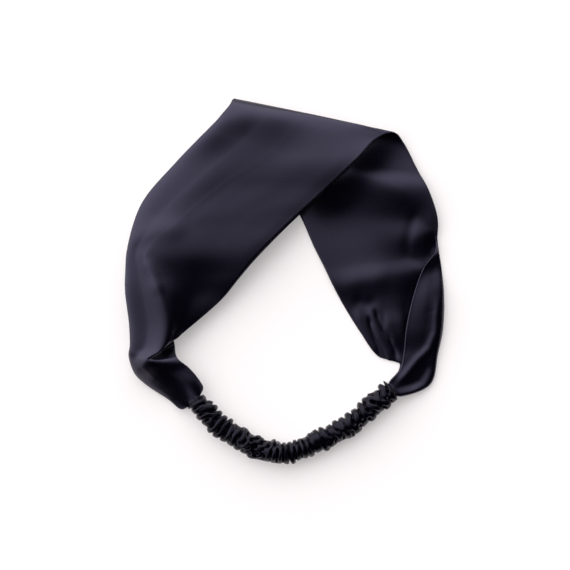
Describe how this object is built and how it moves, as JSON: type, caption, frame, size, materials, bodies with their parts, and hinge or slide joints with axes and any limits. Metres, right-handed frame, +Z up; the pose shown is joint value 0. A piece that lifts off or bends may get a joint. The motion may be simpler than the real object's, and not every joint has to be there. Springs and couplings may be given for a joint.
{
  "type": "wide headband",
  "caption": "Wide satin headband lying flat, its broad band folded over on itself, with a ruched elastic sleeve that closes the loop round the head.",
  "frame": {"origin": "under the middle of the outline, on the surface that the headband lies on", "axes": "+Z up from the surface, +Y from the sleeve at the back of the loop towards the fold in the band, +X to the right"},
  "size_m": [0.1806, 0.2076, 0.02],
  "materials": {
    "satin": "smooth black satin with a soft cool sheen",
    "ruched_satin": "black satin gathered in fine, uneven ruffles"
  },
  "bodies": {
    "root": {"satin_band": "satin", "ruched_sleeve": "ruched_satin"}
  },
  "joints": []
}
